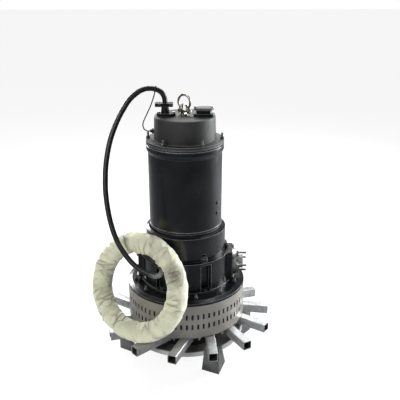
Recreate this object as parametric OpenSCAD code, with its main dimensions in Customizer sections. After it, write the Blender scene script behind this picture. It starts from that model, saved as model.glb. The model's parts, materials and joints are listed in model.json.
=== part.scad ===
// Submersible aerator pump: a motor and an oil chamber stand on an air chamber,
// a ring strainer and a ring of square outlet tubes. Floor at z = 0, shaft on the Z axis.

/* [Feet and pan] */
// Height of the legs, from the floor to the underside of the outlet tubes
leg_h = 127; // [115:1:150]
// Thickness of the bent plate that a leg is made of
leg_t = 8; // [5:0.5:12]
// Distance of a leg's outer corner from the shaft axis
leg_corner_r = 316; // [313:1:330]
// Outer diameter of the bottom pan
pan_d = 527; // [500:1:530]
// Clearance from the floor to the underside of the bottom pan
pan_clear = 75; // [60:1:80]
// Sheet thickness of the bottom pan
pan_t = 6; // [4:0.5:8]
// Height of the turned-up rim above the pan's underside
pan_rim_h = 20; // [14:1:26]

/* [Outlet tubes] */
// Outer size of the square outlet tubes
tube_size = 40; // [36:1:44]
// Wall of the outlet tubes
tube_wall = 3; // [2:0.5:4]
// Sideways offset of a tube's axis from the shaft axis, which gives the swirl
tube_swirl = 91; // [84:1:95]
// Distance along a tube from the shaft to its outer end
tube_reach = 380; // [350:1:420]
// Distance along a tube from the shaft to its inner end
tube_start = 140; // [138:1:150]

/* [Strainer] */
// Outer diameter of the strainer
strainer_d = 533; // [528:1:540]
// Height of the strainer
strainer_h = 152; // [140:1:180]
// Sheet thickness of the strainer
strainer_t = 3; // [2:0.5:4]
// Number of slots in each of the two rows
slot_count = 68; // [40:2:72]
// Width of a slot
slot_w = 9; // [6:0.5:11]
// Height of a slot
slot_h = 24; // [14:1:30]

/* [Chambers] */
// Thickness of the base plate
plate_t = 20; // [16:1:26]
// Height of the air chamber
air_h = 144; // [142:1:170]
// Outer diameter of the air chamber
air_d = 396; // [392:1:402]
// Height of the oil chamber
oil_h = 114; // [110:1:130]
// Outer diameter of the oil chamber
oil_d = 355; // [350:1:358]
// Inner diameter of both chambers
chamber_bore = 300; // [284:1:302]

/* [Motor] */
// Outer diameter of the motor housing
motor_d = 320; // [318:1:322]
// Height of the motor housing
motor_h = 370; // [366:1:420]
// Wall of the motor housing
motor_wall = 10; // [9:0.5:11]
// Outer diameter of the flanges between motor housing and cap
flange_d = 334; // [332:1:340]
// Height of the cap above its flange
cap_h = 100; // [92:1:120]
// Outer diameter of the cap at its foot
cap_d = 266; // [262:1:270]
// Outer diameter of the rotor
rotor_d = 182; // [176:1:186]
// Length of the rotor and stator cores
core_l = 190; // [160:1:200]
// Diameter of the shaft in its bearings
shaft_d = 50; // [48:0.5:52]

/* [Air inlet] */
// Outer diameter of the air pipe that the inlet takes
inlet_d = 48.3; // [42:0.1:50]
// Width of the square port flanges
port_w = 130; // [124:1:131]
// Thickness of the square port flanges
port_t = 23; // [18:1:28]
// Outer diameter of the plated companion flange
companion_d = 114; // [108:1:120]

/* [Lifting gear] */
// Inner diameter of the lifting eye
eye_bore = 30; // [28:1:34]
// Wire diameter of the lifting eye
eye_wire = 12; // [10:0.5:13]
// Wire diameter of the shackle bow
bow_wire = 10; // [8:0.5:11]
// Radius of the shackle bow at the middle of its wire
bow_r = 30; // [28:0.5:32]
// Height from the pin to the centre of the shackle bow
bow_rise = 38; // [35:0.5:42]

/* [Cables] */
// Diameter of the main cable
cable_d = 22; // [18:0.5:22]
// Diameter of the coil at the middle of its turns
coil_d = 387; // [384:1:390]
// Outer diameter of the wrapped bundle
wrap_d = 91; // [90:0.5:92]
// Diameter of the thin sensor lead
lead_d = 5; // [4:0.5:5]

/* [Hidden] */

$fn = 72;
// Overrun of a cut past the face that it leaves
over = 1;
// Gap round a bolt's shank and between spigots and their bores
bolt_gap = 0.2;
// Radial running gap of the parts that turn on one another
run_gap = 0.05;
// Gap between pieces that lie loosely on or in one another
seat_gap = 0.3;

// Sizes of a hexagon bolt and nut as shares of the thread's diameter
across_share = 1.6;
head_share = 0.65;
nut_share = 0.85;

// Heights of the stack, from the floor up
deck_t = 6;
neck_h = 9;
gasket_t = 1.5;
cap_flange_t = 12;
z_tube = leg_h;
z_deck = z_tube + tube_size;
z_strainer = z_deck + deck_t;
z_plate = z_strainer + strainer_h;
z_air = z_plate + plate_t;
z_oil = z_air + air_h;
z_neck = z_oil + oil_h;
z_motor = z_neck + neck_h;
z_gasket = z_motor + motor_h;
z_cap = z_gasket + gasket_t;
z_cap_wall = z_cap + cap_flange_t;
z_crown = z_cap_wall + cap_h;

// Outlet tubes stand at an equal pitch, each with its axis beside the shaft
tube_count = 14;
tube_pitch = 360 / tube_count;
tube_first = -112.8;

// Legs stand by four of the tubes, turned from the tube's own direction
leg_places = [1, 4, 8, 11];
leg_turn = 22.8;
wing_in_turn = -143;
wing_in_foot = 79;
wing_in_top = 64;
wing_out_turn = 135;
wing_out_foot = 98;
wing_out_knee = 42;
wing_out_top = 34;
wing_knee_h = 106;

// Casing of the impeller, which the tubes' inner ends pass through
casing_r = 184;
casing_wall = 8;
casing_floor = 8;
deck_r = 261;
deck_eye_r = 80;
ring_bolt_r = 250;
ring_bolt_m = 10;
ring_bolt_end = 17;

// Rings of bolts and columns inside the strainer
strainer_flange_w = 46;
slot_row_gap = 24;
slot_first = -89.8;
column_r = 13;
column_ring_r = 205;
column_count = 6;
column_pin_r = 6;
column_pin_h = 5.5;
plate_flat_r = 249;
plate_bevel_h = 8;
plate_bolt_r = 232;
plate_bolt_m = 10;
plate_bolt_count = 12;
plate_bolt_first = -20;
plate_bolt_up = 22;

// Air way from the air chamber down to the impeller's eye
sleeve_r = 42;
sleeve_wall = 7;
sleeve_flange_r = 66;
sleeve_flange_t = 8;
sleeve_lift = 1;
sleeve_end_up = 4;

// Air chamber with its foot ring, pockets and port faces
air_foot_r = 203;
air_foot_t = 8;
air_roof_t = 18;
pocket_w = 50;
pocket_depth = 24;
pocket_roof_t = 12;
bolt_ring_first = -4;
bolt_ring_count = 6;
pocket_places = [1, 2, 4, 5];
foot_bolt_r = 186;
chamber_bolt_r = 180;
lug_bolt_m = 10;
chamber_bolt_m = 12;
chamber_bolt_depth = 11;
port_turn = -4;
port_face = 187;
port_lift = 2;
port_bore_r = 21;
port_bolt_half = 51;
port_bolt_m = 12;
port_bolt_depth = 22;
port_corner_r = 84;
port_z = z_air + air_foot_t + port_lift + port_w / 2;

// Plated companion flange with its nipple socket and long studs
companion_t = 18;
companion_hub_r = 31;
companion_hub_l = 30;
companion_bolt_r = 43;
companion_bolt_m = 12;
companion_stud_l = 64;
socket_r = inlet_d / 2 + bolt_gap;
socket_l = companion_t + companion_hub_l;

oil_roof_t = 18;
oil_chamfer_h = 6;
oil_chamfer_w = 11.5;
lug_r = 14;
lug_h = 16;
spot_r = 10.5;
spot_depth = 0.6;
oil_plug_turn = 100;
oil_plug_up = 40;
oil_plug_m = 20;
oil_plug_head = 10;

// Shaft seals between the air chamber, the oil chamber and the motor
seat_bore_r = 40;
seat_in_r = 28;
seal_r = 36;
seal_h = 24;
seal_face_gap = 0.3;
spring_wire = 4;
spring_r = 31;
spring_curls = 5;
curl_rings = 8;
curl_sides = 6;

bracket_r = 155;
spigot_h = 12;
hub_r = 62;
hub_wall = 4;
bearing_r = 45;
bearing_w = 20;
bearing_lift = 16;
bearing_drop = 18;
bracket_hole_r = 29;
upper_bracket_t = 16;
lead_hole_r = 12;
lead_hole_at = 95;
lead_hole_count = 3;
ball_r = 6;
ball_ring_r = 35;
ball_count = 9;
race_t = 6.5;

foot_band_h = 9;
foot_band_t = 2;
collar_h = 26;
collar_taper_h = 16;
collar_groove = 1.5;
collar_groove_down = 8;
housing_plug_turn = -30.7;
housing_plug_m = 12;
housing_plug_heights = [70, 117];

air_gap = 0.6;
core_up = 78;
winding_h = 38;
winding_in = 98;
winding_out = 142;
winding_chamfer = 10;
end_ring_h = 18;
end_ring_in = 62;
end_ring_out = 88;

// Stepped shaft, from the impeller's thread up to the upper bearing
shaft_end_up = 11;
thread_r = 14;
thread_l = 18;
wheel_seat_r = 18;
neck_r = 22.5;
neck_l = 295;
core_seat_r = 31;
shaft_tip_r = 20;
shaft_tip_l = 14;
wheel_h = 55;
wheel_hub_r = 36;
wheel_disc_t = 6;
wheel_r = 145;
wheel_top_gap = 6;
vane_count = 6;
vane_t = 7;
vane_curve_r = 118;
key_w = 10;
key_l = 36;
key_in = 4;
key_out = 3;
nut_across = 41;
nut_h = 13;

cap_taper = 3;
cap_wall = 9;
cap_roof_t = 10;
cap_round = 6;
cap_bolt_r = 158.5;
cap_bolt_m = 10;
cap_stud_down = 16;
cap_stud_up = 26;
block_l = 96;
block_w = 40;
block_h = 16;
post_r = 4;
post_h = 14;
post_step = 28;

// Cable gland on the cap's left side: oval foot, tapered neck and split bar clamp
gland_x = -82;
gland_y = -12;
gland_foot_x = -78;
gland_foot_l = 80;
gland_foot_w = 46;
gland_foot_t = 12;
gland_neck_h = 29;
gland_neck_r = 18;
gland_top_r = 15.5;
gland_seal_r = 14;
gland_seal_h = 26;
gland_screw_half = 31;
gland_screw_m = 8;
clamp_left = 42;
clamp_right = 33;
clamp_h = 14;
clamp_w = 38;
clamp_slit = 4;
clamp_bolt_x = 24;
clamp_bolt_m = 8;
z_gland = z_crown + gland_foot_t;
z_clamp = z_gland + gland_neck_h;

// Spare cable entry on the right, closed by a plate
spare_x = 80;
spare_y = -20;
spare_foot_l = 90;
spare_foot_w = 46;
spare_foot_t = 11;
spare_neck_l = 66;
spare_neck_w = 38;
spare_neck_h = 16;
spare_cover_l = 84;
spare_cover_w = 52;
spare_cover_t = 10;
spare_hole_r = 14;
cover_screw_half = 34;
cover_screw_m = 8;
cover_screw_depth = 12;

eye_x = -2;
eye_collar_r = 17;
eye_collar_t = 6;
eye_stem_r = 8;
eye_stem_l = 24;
eye_boss_r = 20;
eye_boss_h = 16;
eye_turn = -35;
eye_lift = 0.5;
eye_r = (eye_bore + eye_wire) / 2;
eye_z = z_crown + eye_lift + eye_bore / 2 + eye_wire;
pin_r = 5.5;
pin_z = eye_z - eye_bore / 2 + pin_r + seat_gap;
ear_at = 22;
ear_r = 10;
ear_t = 9;
pin_head_r = 9;
pin_head_t = 6;
pin_end = 4;

lead_gland_up = 45;
lead_gland_z = z_cap + lead_gland_up;
lead_gland_turn = 181;
lead_hex = 19;
lead_hex_t = 8;
lead_nose_r = 6.5;
lead_nose_l = 8;
lead_hole = 5.5;

// The main cable from the clamp, over and down to the wrapped coil
cable_points = [[-82, -12, 1112], [-82, -12, 1134], [-82, -12, 1154], [-84, -12, 1171],
    [-91, -12, 1187], [-104, -12, 1200], [-122, -13, 1208], [-146, -14, 1211], [-174, -18, 1206], [-202, -26, 1190],
    [-228, -36, 1167], [-250, -47, 1136], [-273, -60, 1097], [-293, -74, 1053],
    [-309, -88, 1008], [-320, -102, 961], [-328, -117, 910], [-331, -132, 858],
    [-331, -146, 812], [-327, -160, 767], [-320, -175, 722], [-310, -190, 680],
    [-297, -205, 640], [-280, -220, 604], [-261, -233, 574], [-242, -244, 550],
    [-219, -257, 528], [-193, -269, 510], [-165, -280, 498], [-137, -289, 490]];
cable_lead_in = [[-110, -299, 487], [-91, -306, 488], [-71, -313, 487], [-51, -321, 482],
    [-33, -328, 474], [-18, -334, 462], [-8, -338, 446]];
cable_sides = 10;

// Frame of the coil: its centre, the way its front faces, and the lean of that front
coil_centre = [-204, -216, 396.5];
coil_yaw = -121.6;
coil_lean = 16.5;
coil_out = [cos(coil_lean) * cos(coil_yaw), cos(coil_lean) * sin(coil_yaw), sin(coil_lean)];
coil_side = [-sin(coil_yaw), cos(coil_yaw), 0];
coil_up = cross(coil_out, coil_side);
coil_turns = 5;
coil_gap = 0.6;
coil_step = cable_d + coil_gap;
coil_start = -3;
coil_spread = coil_step * coil_turns / 4;
loop_rings = 24;
loop_sides = 6;
wrap_t = 1.2;
wrap_mouth_low = 0;
wrap_mouth_high = 34;

// The sensor lead from its tie on the main cable to the cap's side
lead_points = [[-123, -13, 1195], [-132, -11, 1166], [-145, -8, 1132], [-159, -6, 1103],
    [-170, -5, 1080], [-177, -4, 1062], [-177, -3, 1047], [-171, -3, 1035],
    [-160, -3, 1029]];
lead_sides = 8;
tie_at = 6;
tie_w = 7;
tie_t = 1.5;

function unit(v) = v / norm(v);

// A point given in the coil's own frame: sideways, upwards and out of its face
function in_coil(p) = coil_centre + p[0] * coil_side + p[1] * coil_up + p[2] * coil_out;

// Ramp from 0 to 1 as x goes from low to high
function ramp(x, low, high) = max(0, min(1, (x - low) / (high - low)));

// The coil's middle line after t turns: in to the middle of its run, then out again
function coil_radius(t) =
    coil_d / 2 + coil_spread - coil_step * min(t, coil_turns - t);
function coil_layer(t) =
    coil_step * (1 / 2 - ramp(t, coil_turns / 2 - 1 / 4, coil_turns / 2 + 1 / 4));
function coil_point(t) =
    let (turn = coil_start - 360 * t)
    in_coil([coil_radius(t) * cos(turn), coil_radius(t) * sin(turn), coil_layer(t)]);
function coil_way(t) = unit(coil_point(t + over / 360) - coil_point(t - over / 360));

coil_loops = [for (k = [0:coil_turns * loop_rings]) coil_point(k / loop_rings)];
coil_path = concat(
    [coil_loops[0] - cable_d * unit(coil_loops[1] - coil_loops[0])],
    coil_loops,
    [coil_loops[len(coil_loops) - 1]
        + cable_d * unit(coil_loops[len(coil_loops) - 1] - coil_loops[len(coil_loops) - 2])]);

// Least gap of the coil to itself, between points that are over a quarter turn apart
coil_self_gap = min([for (i = [0:len(coil_loops) - 1])
    for (j = [i + loop_rings / 4:len(coil_loops) - 1])
        norm(coil_loops[i] - coil_loops[j]) - cable_d]);

function way_at(path, i) =
    unit(path[min(i + 1, len(path) - 1)] - path[max(i - 1, 0)]);

// A tube of flat-sided rings along a path, turned so that no ring faces along ref
module tube(path, r, sides, ref) {
    last = len(path) - 1;
    points = [for (i = [0:last])
        let (way = way_at(path, i), across = unit(cross(ref, way)), rise = cross(way, across))
        for (k = [0:sides - 1])
            path[i] + r * (cos(k * 360 / sides) * across + sin(k * 360 / sides) * rise)];
    walls = [for (i = [0:last - 1]) for (k = [0:sides - 1])
        let (a = i * sides + k, b = i * sides + (k + 1) % sides)
        each [[a, a + sides, b + sides], [a, b + sides, b]]];
    ends = [for (k = [1:sides - 2])
        each [[0, k, k + 1], [last * sides, last * sides + k + 1, last * sides + k]]];
    polyhedron(points = points, faces = concat(walls, ends));
}

module ring(outer, inner, low, high) {
    rotate_extrude()
        translate([inner, low])
            square([outer - inner, high - low]);
}

module around(count, first) {
    for (k = [0:count - 1])
        rotate([0, 0, first + k * 360 / count])
            children();
}

module hexagon(across, h) {
    cylinder(d = across / cos(30), h = h, $fn = 6);
}

// A hexagon bolt, its head standing on z = 0 and its shank below
module hex_bolt(m, l) {
    hexagon(m * across_share, m * head_share);
    translate([0, 0, -l])
        cylinder(d = m, h = l + m * head_share / 2, $fn = 24);
}

module hex_nut(m) {
    difference() {
        hexagon(m * across_share, m * nut_share);
        translate([0, 0, -over])
            cylinder(d = m + bolt_gap, h = m * nut_share + 2 * over, $fn = 24);
    }
}

module bolt_hole(m, low, high) {
    translate([0, 0, low])
        cylinder(d = m + 2 * bolt_gap, h = high - low, $fn = 24);
}

// A flat oval with round ends, as an outline
module oval(l, w) {
    half = (l - w) / 2;
    polygon([for (side = [-1, 1]) for (a = [-90:15:90])
        [side * (half + w / 2 * cos(a)), side * w / 2 * sin(a)]]);
}

// Things stand at the mouth of a port, with their own z axis pointing outwards
module at_port(turn) {
    rotate([0, 0, port_turn + turn])
        translate([port_face, 0, port_z])
            rotate([0, 90, 0])
                children();
}

module at_port_corners() {
    for (x = [-1, 1])
        for (y = [-1, 1])
            translate([x * port_bolt_half, y * port_bolt_half, 0])
                children();
}

module at_tube(k) {
    rotate([0, 0, tube_first + k * tube_pitch])
        translate([0, tube_swirl, z_tube])
            children();
}

module leg_wing(turn, outline) {
    rotate([0, 0, turn])
        rotate([90, 0, 0])
            linear_extrude(height = leg_t, center = true)
                polygon(outline);
}

module feet() {
    color("dimgray")
        for (k = leg_places)
            rotate([0, 0, tube_first + k * tube_pitch + leg_turn])
                difference() {
                    translate([leg_corner_r, 0, 0]) {
                        leg_wing(wing_in_turn, [[-leg_t / 2, 0], [wing_in_foot, 0],
                            [wing_in_top, leg_h], [-leg_t / 2, leg_h]]);
                        leg_wing(wing_out_turn, [[0, 0], [wing_out_foot, 0],
                            [wing_out_knee, wing_knee_h], [wing_out_top, leg_h], [0, leg_h]]);
                    }
                    translate([0, 0, pan_clear])
                        rotate([0, 0, 180])
                            cylinder(d = pan_d + 2 * seat_gap, h = leg_h);
                }
}

module bottom_pan() {
    color("gainsboro")
        rotate_extrude()
            translate([0, pan_clear])
                polygon([[0, 0], [pan_d / 2, 0], [pan_d / 2, pan_rim_h],
                    [pan_d / 2 - pan_t, pan_rim_h], [pan_d / 2 - pan_t, pan_t], [0, pan_t]]);
}

module diffuser_casing() {
    color("dimgray")
        difference() {
            rotate_extrude()
                translate([0, pan_clear + pan_t])
                    polygon([[0, 0], [casing_r, 0], [casing_r, z_deck - pan_clear - pan_t],
                        [casing_r - casing_wall, z_deck - pan_clear - pan_t],
                        [casing_r - casing_wall, casing_floor], [0, casing_floor]]);
            for (k = [0:tube_count - 1])
                at_tube(k)
                    translate([tube_start - tube_size / 2, -tube_size / 2 - seat_gap, -seat_gap])
                        cube([tube_size * 2, tube_size + 2 * seat_gap, tube_size + over]);
        }
}

module outlet_tubes() {
    color("silver")
        for (k = [0:tube_count - 1])
            at_tube(k)
                translate([tube_start, 0, tube_size / 2])
                    rotate([90, 0, 90])
                        linear_extrude(height = tube_reach - tube_start)
                            difference() {
                                square(tube_size, center = true);
                                square(tube_size - 2 * tube_wall, center = true);
                            }
}

module diffuser_deck() {
    color("silver")
        difference() {
            ring(deck_r, deck_eye_r, z_deck, z_strainer);
            around(tube_count, tube_first + tube_pitch / 2 + leg_turn)
                translate([ring_bolt_r, 0, 0])
                    bolt_hole(ring_bolt_m, z_deck - over, z_strainer + over);
            around(column_count, plate_bolt_first + leg_turn)
                translate([column_ring_r, 0, z_deck - over])
                    cylinder(r = column_pin_r + bolt_gap, h = deck_t + 2 * over);
        }
}

module ring_bolts() {
    color("silver")
        around(tube_count, tube_first + tube_pitch / 2 + leg_turn)
            translate([ring_bolt_r, 0, 0]) {
                translate([0, 0, z_strainer + strainer_t])
                    hex_bolt(ring_bolt_m, strainer_t + deck_t + ring_bolt_end);
                translate([0, 0, z_deck - ring_bolt_m * nut_share])
                    hex_nut(ring_bolt_m);
            }
}

module strainer() {
    strainer_r = strainer_d / 2;
    color("lightslategray")
        difference() {
            rotate_extrude()
                translate([strainer_r, z_strainer])
                    polygon([[0, 0], [0, strainer_h], [-strainer_flange_w, strainer_h],
                        [-strainer_flange_w, strainer_h - strainer_t],
                        [-strainer_t, strainer_h - strainer_t], [-strainer_t, strainer_t],
                        [-strainer_flange_w, strainer_t], [-strainer_flange_w, 0]]);
            around(slot_count, slot_first)
                for (row = [-1, 1])
                    translate([strainer_r - 2 * strainer_t, -slot_w / 2,
                            z_strainer + strainer_h / 2 + row * slot_row_gap - slot_h / 2])
                        cube([3 * strainer_t, slot_w, slot_h]);
            around(tube_count, tube_first + tube_pitch / 2 + leg_turn)
                translate([ring_bolt_r, 0, 0])
                    bolt_hole(ring_bolt_m, z_strainer - over, z_strainer + strainer_t + over);
            around(plate_bolt_count, plate_bolt_first)
                translate([plate_bolt_r, 0, 0])
                    bolt_hole(plate_bolt_m, z_plate - strainer_t - over, z_plate + over);
        }
}

module stay_columns() {
    color("dimgray")
        around(column_count, plate_bolt_first + leg_turn)
            translate([column_ring_r, 0, z_strainer]) {
                cylinder(r = column_r, h = strainer_h);
                translate([0, 0, -column_pin_h])
                    cylinder(r = column_pin_r, h = strainer_h + 2 * column_pin_h);
            }
}

module base_plate() {
    plate_r = strainer_d / 2;
    color("#26282b")
        difference() {
            rotate_extrude()
                translate([sleeve_r - sleeve_wall, z_plate])
                    polygon([[0, 0], [plate_r - sleeve_r + sleeve_wall, 0],
                        [plate_r - sleeve_r + sleeve_wall, plate_t - plate_bevel_h],
                        [plate_flat_r - sleeve_r + sleeve_wall, plate_t], [0, plate_t]]);
            around(plate_bolt_count, plate_bolt_first)
                translate([plate_bolt_r, 0, 0])
                    bolt_hole(plate_bolt_m, z_plate - over, z_air + over);
            around(column_count, plate_bolt_first + leg_turn)
                translate([column_ring_r, 0, z_plate - over])
                    cylinder(r = column_pin_r + bolt_gap, h = column_pin_h + bolt_gap + over);
            around(bolt_ring_count, bolt_ring_first)
                translate([foot_bolt_r, 0, 0])
                    bolt_hole(chamber_bolt_m, z_air - chamber_bolt_depth, z_air + over);
        }
}

module plate_bolts() {
    color("#303236")
        around(plate_bolt_count, plate_bolt_first)
            translate([plate_bolt_r, 0, 0]) {
                translate([0, 0, z_plate - strainer_t])
                    rotate([180, 0, 0])
                        hex_bolt(plate_bolt_m, strainer_t + plate_t + plate_bolt_up);
                translate([0, 0, z_air])
                    hex_nut(plate_bolt_m);
            }
}

module air_sleeve() {
    color("#303236") {
        ring(sleeve_r, sleeve_r - sleeve_wall, z_deck + sleeve_end_up, z_plate);
        ring(sleeve_flange_r, sleeve_r - sleeve_wall, z_plate - sleeve_flange_t, z_plate);
    }
}

module air_chamber() {
    air_r = air_d / 2;
    color("#26282b")
        difference() {
            rotate([0, 0, port_turn + 90])
                rotate_extrude()
                    polygon([[chamber_bore / 2, z_air], [air_foot_r, z_air],
                        [air_foot_r, z_air + air_foot_t], [air_r, z_air + air_foot_t],
                        [air_r, z_oil], [seat_bore_r + bolt_gap, z_oil],
                        [seat_bore_r + bolt_gap, z_oil - air_roof_t],
                        [chamber_bore / 2, z_oil - air_roof_t]]);
            for (k = pocket_places)
                rotate([0, 0, bolt_ring_first + k * 360 / bolt_ring_count])
                    translate([air_d / 2 - pocket_depth, -pocket_w / 2, z_air + air_foot_t])
                        cube([2 * pocket_depth, pocket_w,
                            air_h - air_foot_t - pocket_roof_t]);
            for (turn = [0, 180])
                at_port(turn) {
                    translate([-air_h, -air_d / 2, 0])
                        cube([air_h + port_w / 2 + port_lift, air_d, air_foot_r]);
                    translate([0, 0, chamber_bore / 2 - port_face - over * 4])
                        cylinder(r = port_bore_r, h = port_face - chamber_bore / 2 + 5 * over);
                    at_port_corners()
                        bolt_hole(port_bolt_m, -port_bolt_depth, over);
                }
            for (k = pocket_places)
                rotate([0, 0, bolt_ring_first + k * 360 / bolt_ring_count])
                    translate([foot_bolt_r, 0, 0])
                        bolt_hole(chamber_bolt_m, z_air - over, z_air + air_foot_t + over);
            around(bolt_ring_count, bolt_ring_first)
                translate([chamber_bolt_r, 0, 0])
                    bolt_hole(lug_bolt_m, z_oil - chamber_bolt_depth, z_oil + over);
        }
}

module chamber_bolts() {
    color("#303236") {
        around(bolt_ring_count, bolt_ring_first)
            translate([chamber_bolt_r, 0, z_oil + lug_h - spot_depth])
                hex_bolt(lug_bolt_m, lug_h + chamber_bolt_depth - over);
        for (k = pocket_places)
            rotate([0, 0, bolt_ring_first + k * 360 / bolt_ring_count])
                translate([foot_bolt_r, 0, z_air + air_foot_t])
                    hex_bolt(chamber_bolt_m, air_foot_t + chamber_bolt_depth - over);
    }
}

// The rounded square of a port flange, as an outline
module port_outline() {
    intersection() {
        square(port_w, center = true);
        circle(r = port_corner_r);
    }
}

module port_gaskets() {
    color("#3a3a3a")
        for (turn = [0, 180])
            at_port(turn)
                difference() {
                    linear_extrude(height = gasket_t)
                        port_outline();
                    translate([0, 0, -over])
                        cylinder(r = port_bore_r, h = gasket_t + 2 * over);
                    at_port_corners()
                        bolt_hole(port_bolt_m, -over, gasket_t + over);
                }
}

module inlet_flange() {
    color("#1d1f22")
        at_port(0)
            translate([0, 0, gasket_t])
                difference() {
                    linear_extrude(height = port_t)
                        port_outline();
                    translate([0, 0, -over])
                        cylinder(r = port_bore_r, h = port_t + 2 * over);
                    at_port_corners()
                        bolt_hole(port_bolt_m, -over, port_t + over);
                    around(4, 0)
                        translate([companion_bolt_r, 0, 0])
                            bolt_hole(companion_bolt_m, over, port_t + over);
                }
}

module blank_flange() {
    color("#1d1f22")
        at_port(180)
            translate([0, 0, gasket_t])
                difference() {
                    linear_extrude(height = port_t)
                        port_outline();
                    at_port_corners()
                        bolt_hole(port_bolt_m, -over, port_t + over);
                }
}

module port_bolts() {
    color("silver")
        for (turn = [0, 180])
            at_port(turn)
                at_port_corners()
                    translate([0, 0, gasket_t + port_t])
                        hex_bolt(port_bolt_m, gasket_t + port_t + port_bolt_depth - over);
}

module companion_flange() {
    color("silver")
        at_port(0)
            translate([0, 0, gasket_t + port_t])
                difference() {
                    union() {
                        cylinder(d = companion_d, h = companion_t);
                        cylinder(r = companion_hub_r, h = socket_l);
                    }
                    translate([0, 0, -over])
                        cylinder(r = socket_r, h = socket_l + 2 * over);
                    around(4, 0)
                        translate([companion_bolt_r, 0, 0])
                            bolt_hole(companion_bolt_m, -over, companion_t + over);
                    at_port_corners()
                        translate([0, 0, -over])
                            cylinder(d = port_bolt_m * 2, h = companion_t + 2 * over);
                }
}

module companion_bolts() {
    color("silver")
        at_port(0)
            around(4, 0)
                translate([companion_bolt_r, 0, gasket_t + port_t]) {
                    translate([0, 0, 2 * over - port_t])
                        cylinder(d = companion_bolt_m, h = port_t - 2 * over + companion_stud_l,
                            $fn = 24);
                    translate([0, 0, companion_t])
                        hex_nut(companion_bolt_m);
                }
}

module oil_chamber() {
    oil_r = oil_d / 2;
    color("#26282b")
        difference() {
            union() {
                rotate([0, 0, port_turn + 90])
                    rotate_extrude()
                        polygon([[chamber_bore / 2, z_oil], [oil_r, z_oil],
                            [oil_r, z_neck - oil_chamfer_h], [oil_r - oil_chamfer_w, z_neck],
                            [seat_bore_r + bolt_gap, z_neck],
                            [seat_bore_r + bolt_gap, z_neck - oil_roof_t],
                            [chamber_bore / 2, z_neck - oil_roof_t]]);
                around(bolt_ring_count, bolt_ring_first)
                    translate([chamber_bolt_r, 0, z_oil + seat_gap])
                        cylinder(r = lug_r, h = lug_h - seat_gap);
            }
            around(bolt_ring_count, bolt_ring_first)
                translate([chamber_bolt_r, 0, 0])
                    bolt_hole(lug_bolt_m, z_oil - over, z_oil + lug_h);
            around(bolt_ring_count, bolt_ring_first)
                translate([chamber_bolt_r, 0, z_oil + lug_h - spot_depth])
                    cylinder(r = spot_r, h = lug_h);
            rotate([0, 0, oil_plug_turn])
                translate([chamber_bore / 2 - over * 2, 0, z_oil + oil_plug_up])
                    rotate([0, 90, 0])
                        bolt_hole(oil_plug_m, 0, oil_r);
        }
}

module oil_plug() {
    color("#303236")
        rotate([0, 0, oil_plug_turn])
            translate([oil_d / 2, 0, z_oil + oil_plug_up])
                rotate([0, 90, 0]) {
                    hexagon(oil_plug_m * across_share, oil_plug_head);
                    translate([0, 0, (chamber_bore - oil_d) / 2])
                        cylinder(d = oil_plug_m, h = (oil_d - chamber_bore) / 2 + over);
                }
}

module seal_seats() {
    color("dimgray")
        for (top = [z_oil, z_neck])
            ring(seat_bore_r, seat_in_r, top - air_roof_t, top);
}

module seal_rings() {
    color("slategray") {
        ring(seal_r, shaft_d / 2 + run_gap, z_oil + seal_face_gap, z_oil + seal_h);
        ring(seal_r, shaft_d / 2 + run_gap, z_neck - oil_roof_t - seal_h,
            z_neck - oil_roof_t - seal_face_gap);
    }
}

// One wire from the lower seal ring to the upper one
module seal_spring() {
    low = z_oil + seal_h + spring_wire / 2 + run_gap;
    high = z_neck - oil_roof_t - seal_h - spring_wire / 2 - run_gap;
    color("silver")
        tube([for (k = [0:spring_curls * curl_rings])
            let (turn = k * 360 / curl_rings)
            [spring_r * cos(turn), spring_r * sin(turn),
                low + (high - low) * k / (spring_curls * curl_rings)]],
            spring_wire / 2, curl_sides, [0, 0, 1]);
}

module lower_bracket() {
    seat = z_motor + bearing_lift;
    color("#26282b")
        difference() {
            union() {
                cylinder(r = bracket_r, h = z_motor);
                cylinder(r = motor_d / 2 - motor_wall - bolt_gap, h = z_motor + spigot_h);
                cylinder(r = hub_r, h = seat + bearing_w);
            }
            translate([0, 0, -over])
                cylinder(r = bracket_r + over, h = z_neck + over);
            cylinder(r = bracket_hole_r, h = seat + bearing_w + over);
            translate([0, 0, seat])
                cylinder(r = bearing_r + run_gap, h = bearing_w + over);
        }
}

module motor_housing() {
    motor_r = motor_d / 2;
    color("#26282b")
        difference() {
            rotate_extrude()
                polygon([[motor_r - motor_wall, z_motor], [motor_r + foot_band_t, z_motor],
                    [motor_r + foot_band_t, z_motor + foot_band_h],
                    [motor_r, z_motor + foot_band_h],
                    [motor_r, z_gasket - collar_h - collar_taper_h],
                    [flange_d / 2, z_gasket - collar_h],
                    [flange_d / 2, z_gasket - collar_groove_down - collar_groove],
                    [flange_d / 2 - collar_groove, z_gasket - collar_groove_down],
                    [flange_d / 2, z_gasket - collar_groove_down + collar_groove],
                    [flange_d / 2, z_gasket], [motor_r - motor_wall, z_gasket]]);
            around(bolt_ring_count, bolt_ring_first)
                translate([cap_bolt_r, 0, 0])
                    bolt_hole(cap_bolt_m, z_gasket - cap_stud_down, z_gasket + over);
            for (up = housing_plug_heights)
                rotate([0, 0, housing_plug_turn])
                    translate([motor_r - motor_wall - over, 0, z_motor + up])
                        rotate([0, 90, 0])
                            bolt_hole(housing_plug_m, 0, 2 * motor_wall);
        }
}

module housing_plugs() {
    color("#1a1b1d")
        for (up = housing_plug_heights)
            rotate([0, 0, housing_plug_turn])
                translate([motor_d / 2, 0, z_motor + up])
                    rotate([0, 90, 0]) {
                        cylinder(r = housing_plug_m * head_share, h = housing_plug_m / 3);
                        translate([0, 0, -motor_wall])
                            cylinder(d = housing_plug_m, h = motor_wall + over);
                    }
}

module stator_core() {
    color("slategray")
        ring(motor_d / 2 - motor_wall - bolt_gap, rotor_d / 2 + air_gap,
            z_motor + core_up, z_motor + core_up + core_l);
}

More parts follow.
